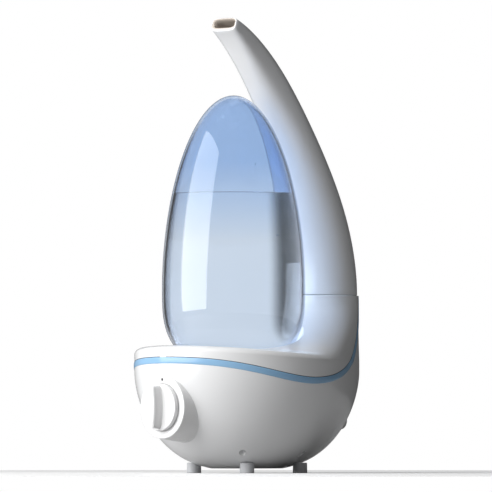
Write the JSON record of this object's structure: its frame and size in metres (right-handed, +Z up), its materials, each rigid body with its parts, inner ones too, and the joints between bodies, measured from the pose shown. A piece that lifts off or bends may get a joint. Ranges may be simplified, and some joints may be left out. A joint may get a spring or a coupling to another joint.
{
  "type": "cool mist humidifier",
  "caption": "Table-top ultrasonic humidifier: bowl-shaped base rising into a rear mist column, egg-shaped clear water tank, swan-neck mist nozzle and a rotary output knob.",
  "frame": {"origin": "on the table, in the middle of the object's width and depth", "axes": "+Z up, -Y to the front where the knob is, +X to the right seen from the front"},
  "size_m": [0.1776, 0.2396, 0.3939],
  "materials": {
    "white_housing": "glossy moulded plastic",
    "white_nozzle": "glossy moulded plastic",
    "white_knob": "satin moulded plastic",
    "blue_trim": "satin moulded plastic",
    "blue_clear": "clear tinted moulded plastic",
    "foot_rubber": "matte moulded rubber",
    "seal_rubber": "matte silicone",
    "inner_plastic": "plain moulded plastic",
    "black_plastic": "fine moulded grain",
    "marker_black": "gloss",
    "screw_steel": "plated",
    "transducer_steel": "ground",
    "brass": "turned",
    "heat_sink_aluminium": "extruded",
    "circuit_board": "solder mask",
    "transformer_tape": "wound tape",
    "magnet_iron": "sintered ferrite"
  },
  "bodies": {
    "base": {"lower_housing": "white_housing", "upper_shell": "white_housing", "tank_well": "white_housing", "trim_band": "blue_trim", "bottom_plate": "white_housing", "foot_pads": "foot_rubber", "plate_screws": "screw_steel", "shell_screws": "screw_steel", "chassis": "inner_plastic", "knob_bezel": "white_housing", "bezel_marker": "marker_black", "potentiometer": "black_plastic", "pot_nut": "brass", "control_board": "circuit_board", "reservoir_basin": "inner_plastic", "basin_gasket": "seal_rubber", "basin_cover": "inner_plastic", "transducer_holder": "brass", "transducer_disc": "transducer_steel", "transducer_seal": "seal_rubber", "holder_screws": "screw_steel", "driver_board": "circuit_board", "heat_sink": "heat_sink_aluminium", "power_board": "circuit_board", "transformer": "transformer_tape", "float_clip": "inner_plastic", "fan_housing": "black_plastic", "fan_motor": "screw_steel", "air_duct": "inner_plastic", "mist_duct": "inner_plastic", "valve_pin": "inner_plastic", "cord_gland": "white_housing"},
    "knob": {"control_knob": "white_knob", "pot_shaft": "screw_steel"},
    "float": {"level_float": "inner_plastic", "float_magnet": "magnet_iron"},
    "fan_rotor": {"fan_impeller": "black_plastic"},
    "collar": {"nozzle_collar": "inner_plastic", "collar_oring": "seal_rubber"},
    "nozzle": {"mist_nozzle": "white_nozzle"},
    "tank": {"water_tank": "blue_clear"},
    "cap": {"tank_cap": "blue_trim", "cap_gasket": "seal_rubber", "valve_spring": "screw_steel"},
    "valve": {"valve_plunger": "inner_plastic", "valve_seal": "seal_rubber"}
  },
  "joints": [
    {"name": "knob_turn", "type": "hinge", "parent": "base", "child": "knob", "pos_m": [0, -0.1063, 0.0566], "axis": [0, 1, 0], "range_deg": [0, 270]},
    {"name": "nozzle_lift", "type": "slide", "parent": "base", "child": "collar", "axis": [0, 0, 1], "range_m": [0, 0.03]},
    {"name": "nozzle_swivel", "type": "hinge", "parent": "collar", "child": "nozzle", "pos_m": [0, 0.0865, 0.155], "axis": [0, 0, 1], "range_deg": [-180, 180]},
    {"name": "tank_lift", "type": "slide", "parent": "base", "child": "tank", "axis": [0, 0, 1], "range_m": [0, 0.005]},
    {"name": "cap_turn", "type": "hinge", "parent": "tank", "child": "cap", "pos_m": [0, -0.0205, 0.08], "axis": [0, 0, 1], "range_deg": [0, 90]},
    {"name": "valve_slide", "type": "slide", "parent": "cap", "child": "valve", "axis": [0, 0, 1], "range_m": [0, 0.004], "stiffness_N_per_m": 120, "deforming": ["valve_spring"]},
    {"name": "float_slide", "type": "slide", "parent": "base", "child": "float", "axis": [0, 0, 1], "range_m": [0, 0.007]},
    {"name": "fan_spin", "type": "hinge", "parent": "base", "child": "fan_rotor", "pos_m": [0, 0.028, 0.02], "axis": [0, 0, 1], "continuous": true}
  ]
}
